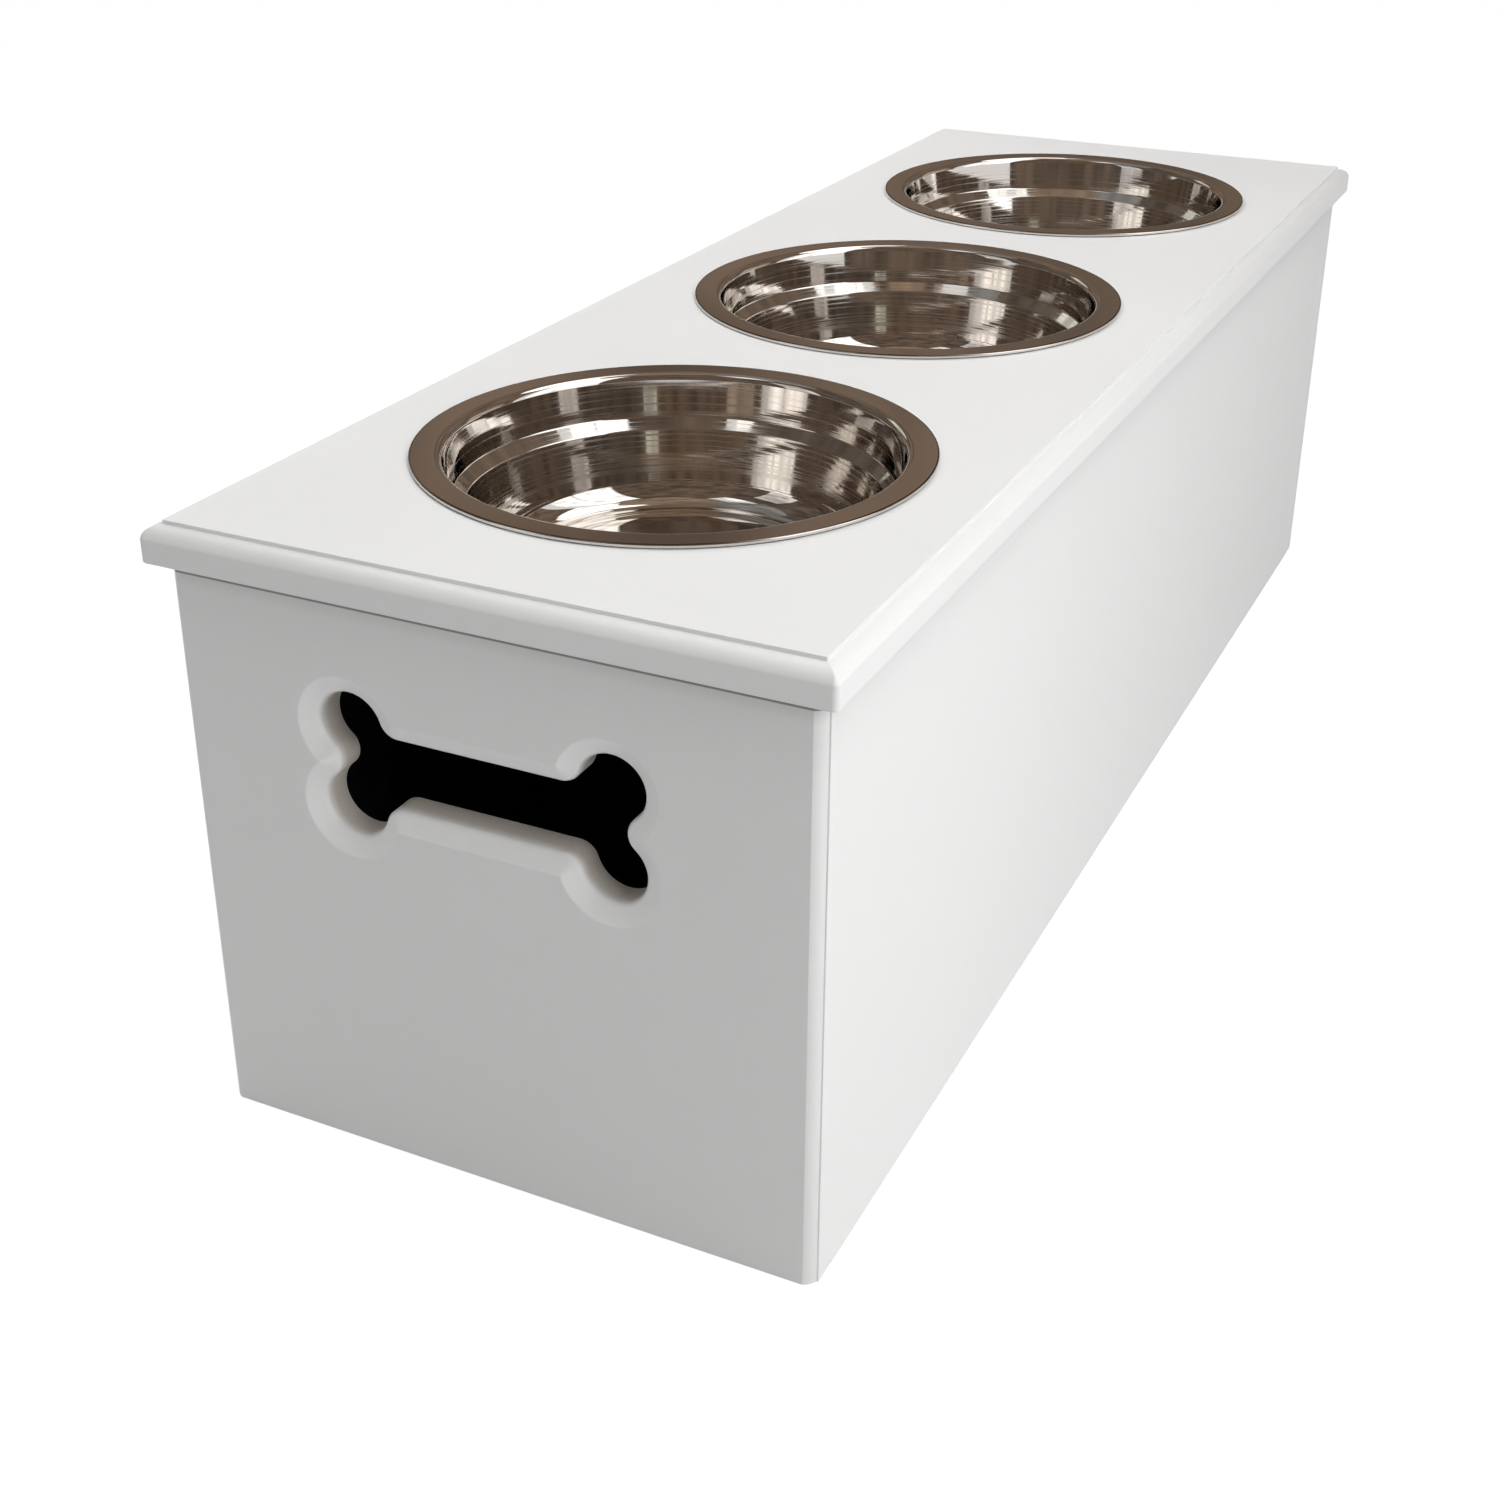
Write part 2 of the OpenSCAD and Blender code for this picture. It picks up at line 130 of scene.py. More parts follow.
class Recipe:
    """A node tree that is being written."""

    def __init__(self, tree):
        self.tree = tree

    def add(self, kind, settings=None, values=None, out=0):
        """Adds a node: its settings first, then its sockets, by name or number. Gives one output as a wire."""
        node = self.tree.nodes.new(kind)
        for name, value in (settings or {}).items():
            if name == "stops":
                while len(node.color_ramp.elements) < len(value):
                    node.color_ramp.elements.new(0.5)
                for element, (place, colour) in zip(node.color_ramp.elements, value):
                    element.position = place
                    element.color = (*colour, 1)
            elif name == "items":
                while len(node.index_switch_items) < value:
                    node.index_switch_items.new()
            else:
                setattr(node, name, value)
        for name, value in (values or {}).items():
            self.put(node.inputs[name], value)
        return Wire(self, node.outputs[out]) if len(node.outputs) else node

    def put(self, socket, value):
        if isinstance(value, Wire):
            self.tree.links.new(value.socket, socket)
        else:
            socket.default_value = value

    def maths(self, operation, *values):
        """One Math node of the given operation on one, two or three values."""
        return self.add("ShaderNodeMath", {"operation": operation}, dict(enumerate(values)))

    def parts(self, vector):
        """The x, y and z of a vector, as three wires."""
        node = self.add("ShaderNodeSeparateXYZ", {}, {0: vector}).socket.node
        return [Wire(self, output) for output in node.outputs]

    def vector(self, x, y, z):
        return self.add("ShaderNodeCombineXYZ", {}, {0: x, 1: y, 2: z})

    def mix(self, amount, first, second):
        """A colour between two colours. Numbers 6 and 7 are the Mix node's colour sockets."""
        values = {0: amount, 6: colour4(first), 7: colour4(second)}
        return self.add("ShaderNodeMix", {"data_type": "RGBA"}, values, out=2)

    def noise(self, where, size, detail=2.0, rough=0.5):
        """Smooth random patches of about the given size in metres, as a value around 0.5."""
        values = {"Vector": where, "Scale": 1 / size, "Detail": detail, "Roughness": rough}
        return self.add("ShaderNodeTexNoise", {}, values)

    def between(self, value, low, high):
        """0 below low, 1 above high, and smooth between them."""
        settings = {"interpolation_type": "SMOOTHSTEP"}
        return self.add("ShaderNodeMapRange", settings, {"Value": value, "From Min": low, "From Max": high})


def colour4(value):
    return value if isinstance(value, Wire) else (*value, 1)


def new_material(name):
    """A material with an empty Principled surface, as a recipe, its surface node and its Object coordinates."""
    material = bpy.data.materials.new(name)
    material.use_nodes = True
    recipe = Recipe(material.node_tree)
    surface = material.node_tree.nodes["Principled BSDF"]
    where = recipe.add("ShaderNodeTexCoord", out="Object")
    return material, recipe, surface, where


def relief(r, surface, height, strength, distance):
    """Gives a surface the small relief of a height, through a Bump node."""
    values = {"Strength": strength, "Distance": distance, "Height": height}
    r.put(surface.inputs["Normal"], r.add("ShaderNodeBump", {}, values))


print("recipe ready")

# %% [markdown]
# ## White satin lacquer
# The boards are sprayed white. Sprayed lacquer is never quite flat: it dries with a soft dimpling a few millimetres
# across, called orange peel, and a finer grain shows where it is thin on rounded edges. Two sizes of noise make the
# height of a Bump node. Broad faint patches vary the white and its gloss, as where more or less paint fell. Just under
# the lid the lacquer is darkened between two heights as painted shade of the lid's overhang, and most in the seam
# itself as a painted dark shadow line.


# %% White lacquer
# Heights in metres between which the painted shade and the painted shadow line in the seam come in, and where both end
# under the lid
SHADE_RISE, SEAM_SHADOW_RISE, LID_REST = (0.262, 0.2692), (0.2683, 0.2689), (0.2728, 0.2729)


def white_lacquer():
    material, r, surface, where = new_material("white_lacquer")
    x, y, z = r.parts(where)
    below_lid = 1 - r.between(z, *LID_REST)
    # Painted shade under the lid's overhang, and a painted dark shadow line in the seam just below the lid
    shade = r.between(z, *SHADE_RISE) * below_lid * 0.22
    seam_shadow = r.between(z, *SEAM_SHADOW_RISE) * below_lid * 0.75
    patches = r.noise(where, 0.12, detail=3)
    dimples = r.noise(where, 0.0035, detail=1)
    grain = r.noise(where, 0.0011, detail=1)
    tone = r.mix(patches, (0.845, 0.845, 0.838), (0.865, 0.865, 0.86))
    tone = r.mix(shade, tone, (0.4, 0.39, 0.38))
    r.put(surface.inputs["Base Color"], r.mix(seam_shadow, tone, (0.07, 0.06, 0.055)))
    r.put(surface.inputs["Roughness"], 0.3 + patches * 0.12 + grain * 0.06)
    height = dimples * 0.7 + grain * 0.3
    relief(r, surface, height, 0.35, 0.00012)
    surface.inputs["IOR"].default_value = 1.47
    return material


WHITE = white_lacquer()
print("made", WHITE.name)

# %% [markdown]
# ## The hand hole's edge
# Wet lacquer creeps to an edge and pools there, so the bevel of a hand hole dries whiter, glossier and wavier than
# the flat board. Deeper in the hole the wall turns from white to a tan, which is painted shade on the hole's wall. How
# deep a point lies below the board's outer face is half the box's length less its distance from the middle.


# %% Lacquer in the hand holes
def pooled_lacquer():
    material, r, surface, where = new_material("pooled_lacquer")
    ripples = r.noise(where, 0.009, detail=1)
    dimples = r.noise(where, 0.003, detail=0)
    r.put(surface.inputs["Base Color"], r.mix(ripples, (0.85, 0.85, 0.843), (0.89, 0.89, 0.885)))
    r.put(surface.inputs["Roughness"], 0.26 + ripples * 0.1)
    height = ripples * 0.6 + dimples * 0.4
    relief(r, surface, height, 0.05, 0.0004)
    surface.inputs["IOR"].default_value = 1.75
    return material


def hole_wall_shade():
    material, r, surface, where = new_material("hole_wall_shade")
    x, y, z = r.parts(where)
    # Painted shade: the hole's wall is white near the face and tan deeper in
    depth = BOX_L / 2 * MM - r.maths("ABSOLUTE", y)
    fine_mottle = r.noise(where, 0.0012, detail=3)
    patches = r.noise(where, 0.01, detail=2)
    tan = r.mix(fine_mottle, (0.66, 0.6, 0.53), (0.76, 0.71, 0.645))
    still_white = 1 - r.between(depth + patches * 0.002, 0.0065, 0.0105)
    r.put(surface.inputs["Base Color"], r.mix(still_white, tan, (0.86, 0.85, 0.83)))
    r.put(surface.inputs["Roughness"], 0.55 - still_white * 0.2 + fine_mottle * 0.1)
    relief(r, surface, fine_mottle, 0.4, 0.0002)
    return material


POOLED, HOLE_WALL_SHADE = pooled_lacquer(), hole_wall_shade()
print("made", POOLED.name, HOLE_WALL_SHADE.name)

# %% [markdown]
# ## Matt black inside
# Every face inside the box is painted matt black, a painted shade for the inside of the box, so the hand holes read as
# dark bone shapes. Paint from a roller leaves a fine stipple and dries unevenly, so the blackness varies a little and
# rubbed places turn greyer.


# %% Black paint
def black_paint():
    material, r, surface, where = new_material("inside_black")
    patches = r.noise(where, 0.06, detail=3)
    stipple = r.noise(where, 0.0018, detail=2)
    rubbed = r.between(r.noise(where, 0.025, detail=4, rough=0.65), 0.56, 0.72)
    # The black stands in for the shade inside the box
    tone = r.mix(patches, (0.036, 0.038, 0.04), (0.05, 0.052, 0.055))
    r.put(surface.inputs["Base Color"], r.mix(rubbed * 0.35, tone, (0.09, 0.09, 0.09)))
    r.put(surface.inputs["Roughness"], 0.62 + patches * 0.12 - rubbed * 0.1)
    relief(r, surface, stipple, 0.4, 0.0002)
    return material


BLACK = black_paint()
print("made", BLACK.name)

# %% [markdown]
# ## Bowl steel
# A pet bowl is spun from a sheet on a lathe, so its marks are circles round its axis: polished and nearly mirror-like
# on the flange, and finely ringed on the wall. The pattern needs the distance from the bowl's own axis. The three
# bowls stand one pitch apart, so taking whole pitches off y centres the pattern on each of them. A dark ring is
# painted as shade in the crease where the flange turns down into its rolled rim, and as a painted shadow under the
# rim's foot.


# %% Bowl steel
def bowl_steel():
    material, r, surface, where = new_material("bowl_steel")
    x, y, z = r.parts(where)
    y = y - r.maths("ROUND", y / (PITCH * MM)) * (PITCH * MM)
    radius = r.maths("SQRT", x * x + y * y)
    depth = LID_TOP * MM - z
    flange = r.between(radius, 0.1055, 0.1085)
    wall = r.between(depth, 0.002, 0.006) * (1 - r.between(depth, 0.046, 0.053))
    ring_place = r.vector(radius, depth, 0.0)
    fine = r.noise(ring_place, 0.0012, detail=1)
    broad = r.noise(ring_place, 0.006, detail=2)
    smears = r.noise(where, 0.03, detail=4, rough=0.6)
    tone = r.mix(broad, (0.63, 0.595, 0.56), (0.68, 0.645, 0.61))
    tone = r.mix(smears * 0.3, tone, (0.55, 0.52, 0.49))
    # Painted shade in the rim's crease and a painted contact shadow under the rim's foot
    crease = r.between(radius, 0.1178, 0.1182) * (1 - r.between(radius, 0.1186, 0.1188))
    foot_shadow = r.between(radius, 0.1165, 0.117) * r.between(depth, -0.0007, -0.0004)
    rim_shade = r.maths("MAXIMUM", crease, foot_shadow) * 0.85
    r.put(surface.inputs["Base Color"], r.mix(rim_shade, tone, (0.06, 0.05, 0.045)))
    lines = r.between(fine, 0.48, 0.62) * wall
    polish = 0.04 + fine * 0.04 + smears * 0.04
    brushed = 0.025 + lines * 0.12 + smears * 0.03
    r.put(surface.inputs["Roughness"], polish * flange + brushed * (1 - flange))
    height = fine * (0.1 + wall * 0.9) + broad * 0.5
    relief(r, surface, height, 0.08, 0.00012)
    surface.inputs["Metallic"].default_value = 1
    return material


STEEL = bowl_steel()
print("made", STEEL.name)

# %% [markdown]
# ## Yellow zinc
# The wood screws are plated with yellow zinc, which shimmers from straw to faint green and pink. Small patches of
# noise run through a colour ramp for that, and the scratches of the driver make the heads a little rougher.


# %% Screw zinc
def screw_zinc():
    material, r, surface, where = new_material("screw_zinc")
    shimmer = r.noise(where, 0.004, detail=3)
    stops = [(0.3, (0.62, 0.66, 0.42)), (0.5, (0.75, 0.66, 0.38)), (0.7, (0.72, 0.55, 0.48))]
    tint = r.add("ShaderNodeValToRGB", {"stops": stops}, {0: shimmer})
    scratches = r.noise(where, 0.0006, detail=2)
    r.put(surface.inputs["Base Color"], tint)
    r.put(surface.inputs["Roughness"], 0.24 + scratches * 0.22)
    relief(r, surface, scratches, 0.3, 0.00005)
    surface.inputs["Metallic"].default_value = 1
    return material


ZINC = screw_zinc()
print("made", ZINC.name)

# %% [markdown]
# ## Boards that stay as drawn
# The side boards, the base, the battens and the corner blocks have the right shape in the CAD model, so they keep it
# and only take a finish. A side board is white outside and black inside: its second material goes to the faces that
# look into the box.

# %% Finish the plain boards
BLACK_NODES = [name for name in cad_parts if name.startswith(("base_panel", "base_batten_", "corner_block_"))]
BLACK_NODES = [name for name in BLACK_NODES if not name.endswith("screws")]
WHITE_NODES = ["lid_locator_front", "lid_locator_rear", "lid_locator_left", "lid_locator_right"]
SIDE_NODES = ["left_side_panel", "right_side_panel"]


def dress(node, *materials):
    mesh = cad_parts[node].data
    mesh.materials.clear()
    for material in materials:
        mesh.materials.append(material)
    return mesh


for node in BLACK_NODES:
    dress(node, BLACK)
for node in WHITE_NODES:
    dress(node, WHITE)
for node in SIDE_NODES:
    mesh = dress(node, WHITE, BLACK)
    for face in mesh.polygons:
        outside = abs(face.center.x) > (BOX_W - 1) / 2 * MM
        face.material_index = 0 if outside or abs(face.normal.z) > 0.9 else 1
print("black:", len(BLACK_NODES), "white:", len(WHITE_NODES), "both:", len(SIDE_NODES))

# %% [markdown]
# ## From faces to a finished piece
# A painted board has flat faces and narrow rounded edges. If Blender averages the normals at the rim of a flat face,
# the whole face looks pillowed. The Weighted Normal modifier lets the large face win, so the face stays flat and only
# the narrow edge turns. The result is kept as a plain mesh, which looks the same in any other program.


# %% Mesh helpers
def make_mesh(name, points, faces, materials, turned=False):
    """An object from points in millimetres, with its doubles merged and its faces outward."""
    mesh = bpy.data.meshes.new(name)
    side = -1 if turned else 1
    mesh.from_pydata([(side * x * MM, side * y * MM, z * MM) for x, y, z in points], [], faces)
    work = bmesh.new()
    work.from_mesh(mesh)
    bmesh.ops.remove_doubles(work, verts=work.verts, dist=0.001 * MM)
    bmesh.ops.recalc_face_normals(work, faces=work.faces)
    if work.calc_volume(signed=True) < 0:
        bmesh.ops.reverse_faces(work, faces=work.faces)
    work.to_mesh(mesh)
    work.free()
    for material in materials:
        mesh.materials.append(material)
    return scene_object(name, mesh)


def keep_result(piece):
    """Swaps a piece's mesh for what its modifiers make of it, and removes them."""
    ready = bpy.context.evaluated_depsgraph_get()
    mesh = bpy.data.meshes.new_from_object(piece.evaluated_get(ready), depsgraph=ready)
    piece.modifiers.clear()
    piece.data = mesh
    return piece


def weigh_normals(piece, sharp=38):
    """Smooth shading that keeps large faces flat, with edges above the given angle in degrees left sharp."""
    for face in piece.data.polygons:
        face.use_smooth = True
    piece.data.set_sharp_from_angle(angle=math.radians(sharp))
    weights = piece.modifiers.new("flat_faces_stay_flat", "WEIGHTED_NORMAL")
    weights.keep_sharp = True
    weights.weight = 100
    return keep_result(piece)


def report(piece):
    piece.data.calc_loop_triangles()
    print(piece.name, "triangles:", len(piece.data.loop_triangles))


def joined(rings):
    """Points and quads of rings that follow each other, each a closed loop of as many points."""
    count = len(rings[0])
    points = [p for ring in rings for p in ring]
    faces = []
    for i in range(len(rings) - 1):
        for j in range(count):
            k = (j + 1) % count
            faces.append((i * count + j, i * count + k, (i + 1) * count + k, (i + 1) * count + j))
    return points, faces


def filled(*loops):
    """Triangles that fill the first loop, with the other loops as holes in it."""
    points = [p for loop in loops for p in loop]
    triangles = tessellate_polygon([[Vector(p) for p in loop] for loop in loops])
    return points, [tuple(t) for t in triangles]


def gathered(*parts):
    """One list of points and one of faces from several."""
    points, faces = [], []
    for some_points, some_faces in parts:
        shift = len(points)
        points += some_points
        faces += [tuple(i + shift for i in face) for face in some_faces]
    return points, faces


def arc(x, y, radius, start, end, steps):
    """Points on an arc, angles in degrees, both ends included."""
    angles = [math.radians(start + (end - start) * i / steps) for i in range(steps + 1)]
    return [(x + radius * math.cos(a), y + radius * math.sin(a)) for a in angles]


print("mesh helpers ready")

# %% [markdown]
# ## The bone outline
# The hand hole is a dog bone: two round lobes at each end, a hollow between them, and a straight shaft. A router
# follows a template, so the outline is arcs that run smoothly into each other. Growing the lobes and shrinking the
# hollows by the same amount gives the outline at any distance from the hole, which is how a bevel's outer edge is
# found.

# %% Bone outline
HOLE_X, HOLE_Z = -4, 194.5
LOBE_X, LOBE_Z, LOBE_R = 61.5, 18.5, 15
SHAFT_HALF, HOLLOW_R = 16.5, 9
NOTCH_X = LOBE_X + math.sqrt((LOBE_R + HOLLOW_R) ** 2 - LOBE_Z**2)
SHAFT_Z = SHAFT_HALF + HOLLOW_R
SHAFT_X = LOBE_X - math.sqrt((LOBE_R + HOLLOW_R) ** 2 - (SHAFT_Z - LOBE_Z) ** 2)
NOTCH_A = math.degrees(math.atan2(LOBE_Z, NOTCH_X - LOBE_X))
SHAFT_A = math.degrees(math.atan2(SHAFT_Z - LOBE_Z, SHAFT_X - LOBE_X))


def bone(grow):
    """The bone's outline round its centre, grown outward by a margin."""
    hollow, lobe = HOLLOW_R - grow, LOBE_R + grow
    right = arc(NOTCH_X, 0, hollow, 180, 180 - NOTCH_A, 10)[1:]
    right += arc(LOBE_X, LOBE_Z, lobe, -NOTCH_A, SHAFT_A, 60)[1:]
    right += arc(SHAFT_X, SHAFT_Z, hollow, SHAFT_A - 180, -90, 14)[1:]
    left = [(-x, z) for x, z in reversed(right)]
    top = right + left + arc(-NOTCH_X, 0, hollow, NOTCH_A, 0, 10)[-1:]
    return top + [(-x, -z) for x, z in top]


print("bone outline points:", len(bone(0)), "width:", round(2 * max(x for x, z in bone(0)), 1), "mm")

# %% [markdown]
# ## The end boards
# Each end board has rounded upright corners with a small step beside them, and the bone hole with a broad bevel that
# rolls into the hole's wall. The bevel's section is a list of (margin, depth) pairs, and one bone ring is drawn for
# each of them. The board's plan is extruded, its front and back are filled round the rings, and the rear board is the
# front one turned half round.

# %% End boards
BEVEL_W, BEVEL_D, BEVEL_R, CREASE_R, BACK_R = 8.5, 4, 2.8, 2.5, 1
CORNER_FLAT, SIDE_EASE, WALL_SHADE_DEPTH = 22, 0.3, 5.2
PATCH_X, PATCH_LOW, PATCH_HIGH = 115, 140, 250
RIM_LEVELS = [(0.5, 0), (0.15, 0.15), (0, 0.5)]


def rectangle(x, y, low, high):
    """An upright rectangle, x to each side of the middle."""
    return [(-x, y, low), (x, y, low), (x, y, high), (-x, y, high)]


def bevel_section():
    """Margin and depth of the hole's edge, from the outer face to the back of the board."""
    slope = math.degrees(math.atan2(BEVEL_D, BEVEL_W))
    reach = CREASE_R * math.tan(math.radians(slope / 2))
    crease = arc(BEVEL_W + reach, CREASE_R, CREASE_R, -90, -90 - slope, 5)
    end = BEVEL_D + BEVEL_R * math.tan(math.radians(90 - slope) / 2)
    roll = arc(BEVEL_R, end, BEVEL_R, -90 - slope, -180, 12)
    back = arc(BACK_R, BOARD - BACK_R, BACK_R, 180, 90, 4)
    return crease + roll + back


def end_plan(front):
    """The board's outline seen from above, from one back corner round the front to the other, and half of it."""
    arc_x = BOX_W / 2 - CORNER_STEP - CORNER_R
    flat = math.radians(CORNER_FLAT)
    bulge = CORNER_R / (math.cos(flat) - math.sin(flat))
    middle_x, middle_y = arc_x - bulge * math.sin(flat), front + bulge * math.cos(flat)
    corner = arc(middle_x, middle_y, bulge, CORNER_FLAT - 90, -CORNER_FLAT, 8)
    corner += arc(BOX_W / 2 - SIDE_EASE, front + CORNER_R + SIDE_EASE, SIDE_EASE, -90, 0, 4)
    corner += [(BOX_W / 2, front + BOARD)]
    return [(-x, y) for x, y in reversed(corner)] + corner, len(corner)


def end_walls(plan, front):
    """The plan at several heights, drawn in a little at the board's lower and upper edge."""
    levels = RIM_LEVELS + [(inset, BOX_H - z) for inset, z in reversed(RIM_LEVELS)]
    walls = []
    for inset, z in levels:
        scale_x, shift_y = 1 - inset / (BOX_W / 2), inset * (1 - 2 / BOARD)
        walls.append([(x * scale_x, y + (shift_y if y < front + BOARD - 1 else 0), z) for x, y in plan])
    return walls


def end_board(name, turned):
    front = -BOX_L / 2
    rings = []
    for margin, depth in bevel_section():
        rings.append([(HOLE_X + x, front + depth, HOLE_Z + z) for x, z in bone(margin)])
    plan, half = end_plan(front)
    walls = end_walls(plan, front)
    points, faces = joined(walls)
    middle_row = RIM_LEVELS.index((0, 0.5)) * len(plan)
    open_faces = {middle_row + half - 1, middle_row + len(plan) - 1}
    parts = [(points, [f for i, f in enumerate(faces) if i not in open_faces])]
    parts += [filled(walls[0]), filled(walls[-1])]
    rim = RIM_LEVELS[-1][1]
    for ring, x_edge, y in ((rings[0], plan[half][0], front), (rings[-1], BOX_W / 2, front + BOARD)):
        patch = rectangle(PATCH_X, y, PATCH_LOW, PATCH_HIGH)
        parts.append(joined([rectangle(x_edge, y, rim, BOX_H - rim), patch]))
        parts.append(filled(patch, ring))
    parts.append(joined(rings))
    piece = make_mesh(name, *gathered(*parts), [WHITE, BLACK, POOLED, HOLE_WALL_SHADE], turned)
    piece = weigh_normals(piece, sharp=19)
    for face in piece.data.polygons:
        x, y, z = face.center / MM
        depth = BOX_L / 2 - abs(y)
        in_hole = abs(x) < PATCH_X and PATCH_LOW < z < PATCH_HIGH and depth > 0.01
        if depth > BOARD - 0.01:
            face.material_index = 1
        elif in_hole:
            # Faces deep in the hole's wall take the tan painted shade, the bevel and roll the pooled lacquer
            face.material_index = 3 if WALL_SHADE_DEPTH < depth < BOARD - BACK_R else 2
    return piece


front_board = end_board("front_end_board", False)
rear_board = end_board("rear_end_board", True)
for board, node in ((front_board, "front_end_panel"), (rear_board, "rear_end_panel")):
    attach(board, "box")
    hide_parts(node)
    report(board)

# %% [markdown]
# ## The lid
# The lid's edge is routed: a round that meets the upright edge in a crisp line, and above it a small step. Under a
# coat of lacquer the step's corners are soft, so the section has small arcs there that the light can catch. One
# rounded rectangle is drawn for each point of the section, all with as many points, so that neighbours join with
# quads. The faces round the three bowl holes are filled with triangles.

# %% Lid
EDGE_R, EDGE_STEP, LID_CORNER_R, MITRE_R, UNDER_R, SOFT_R = 7.5, 1.8, 2.5, 0.5, 1, 0.2
ROUND_R, ROUND_FROM, CUT_EASE = 7.85, 17, 0.5
LID_W, LID_L = BOX_W + 2 * LID_OVER, BOX_L + 2 * LID_OVER


def rounded_rectangle(inset, z):
    """A loop at a distance inside the lid's outline."""
    radius = max(LID_CORNER_R - inset, MITRE_R)
    cx, cy = LID_W / 2 - inset - radius, LID_L / 2 - inset - radius
    loop = []
    for start, side, end in ((0, 1, 1), (90, -1, 1), (180, -1, -1), (270, 1, -1)):
        loop += [(x, y, z) for x, y in arc(side * cx, end * cy, radius, start, start + 90, 8)]
    return loop


def circle(row, radius, z, count=192):
    angles = [2 * math.pi * i / count for i in range(count)]
    return [(radius * math.cos(a), row * PITCH + radius * math.sin(a), z) for a in angles]


def lid_section():
    """Inset and height of the lid's edge, from the underside up to the top face."""
    round_x = ROUND_R * math.cos(math.radians(ROUND_FROM))
    round_z = LID_T - EDGE_STEP - ROUND_R
    section = arc(UNDER_R, UNDER_R, UNDER_R, -90, -180, 5)
    section += arc(round_x, round_z, ROUND_R, 180 - ROUND_FROM, 92.5, 16)
    section += arc(EDGE_R - SOFT_R, LID_T - EDGE_STEP + SOFT_R, SOFT_R, -90, 0, 4)
    section += arc(EDGE_R + SOFT_R, LID_T - SOFT_R, SOFT_R, 180, 90, 5)
    return section


def lid_piece():
    section = [(inset, BOX_H + z) for inset, z in lid_section()]
    rings = [rounded_rectangle(inset, z) for inset, z in section]
    parts = [joined(rings)]
    ease = arc(CUT_R + CUT_EASE, LID_T - CUT_EASE, CUT_EASE, 90, 180, 4) + [(CUT_R, 0)]
    for row in ROWS:
        parts.append(joined([circle(row, radius, BOX_H + z) for radius, z in ease]))
    parts.append(filled(rings[-1], *[circle(row, CUT_R + CUT_EASE, LID_TOP) for row in ROWS]))
    parts.append(filled(rings[0], *[circle(row, CUT_R, BOX_H) for row in ROWS]))
    return weigh_normals(make_mesh("lid_top", *gathered(*parts), [WHITE]))


lid = lid_piece()
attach(lid, "lid")
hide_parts("lid_board")
report(lid)

# %% [markdown]
# ## Turned pieces as a geometry recipe
# A bowl and a screw are both turned round an axis, so both come from one geometry tree. The section is a line of
# corner points, each with its own rounding. A grid is then wrapped round the axis: along one side of the grid lie the
# section's points, along the other the angle. Merging the doubles closes the seam and the poles.


# %% Turning recipe
def geometry_recipe(name, sizes):
    """An empty geometry tree with named number inputs, as a recipe and a dict of its inputs as wires."""
    tree = bpy.data.node_groups.new(name, "GeometryNodeTree")
    tree.interface.new_socket("Geometry", in_out="INPUT", socket_type="NodeSocketGeometry")
    for label, value in sizes.items():
        kind = "NodeSocketInt" if isinstance(value, int) else "NodeSocketFloat"
        tree.interface.new_socket(label, in_out="INPUT", socket_type=kind).default_value = value
    tree.interface.new_socket("Geometry", in_out="OUTPUT", socket_type="NodeSocketGeometry")
    recipe = Recipe(tree)
    inlet = tree.nodes.new("NodeGroupInput")
    recipe.outlet = tree.nodes.new("NodeGroupOutput")
    return recipe, {socket.name: Wire(recipe, socket) for socket in inlet.outputs if socket.name}


def turned(r, corners, steps, around):
    """A solid of revolution. A corner is (radius, height, rounding), as numbers or wires."""
    line = r.add("GeometryNodeMeshLine", {}, {"Count": len(corners)})
    curve = r.add("GeometryNodeMeshToCurve", {}, {"Mesh": line})
    index = r.add("GeometryNodeInputIndex")

    def by_corner(data_type, values):
        settings = {"data_type": data_type, "items": len(corners)}
        return r.add("GeometryNodeIndexSwitch", settings, {0: index, **dict(enumerate(values, 1))})

    spot = by_corner("VECTOR", [r.vector(radius, 0.0, height) for radius, height, rounding in corners])
    drawn = r.add("GeometryNodeSetPosition", {}, {"Geometry": curve, "Position": spot})
    rounding = by_corner("FLOAT", [corner[2] for corner in corners])
    values = {0: drawn, "Count": steps, "Radius": rounding, "Limit Radius": True}
    section = r.add("GeometryNodeFilletCurve", {"mode": "POLY"}, values)
    count = r.add("GeometryNodeAttributeDomainSize", {"component": "CURVE"}, {0: section})
    values = {"Size X": 1.0, "Size Y": 1.0, "Vertices X": count, "Vertices Y": around + 1}
    grid = r.add("GeometryNodeMeshGrid", {}, values)
    cell_x, cell_y, _ = r.parts(r.add("GeometryNodeInputPosition"))
    along = r.maths("ROUND", (cell_x + 0.5) * (count - 1))
    angle = (cell_y + 0.5) * (2 * math.pi)
    values = {0: section, "Value": r.add("GeometryNodeInputPosition"), "Index": along}
    radius, _, height = r.parts(r.add("GeometryNodeSampleIndex", {"data_type": "FLOAT_VECTOR"}, values))
    wrapped = r.vector(radius * r.maths("COSINE", angle), radius * r.maths("SINE", angle), height)
    shell = r.add("GeometryNodeSetPosition", {}, {"Geometry": grid, "Position": wrapped})
    return r.add("GeometryNodeMergeByDistance", {}, {"Geometry": shell, "Distance": 0.000005})


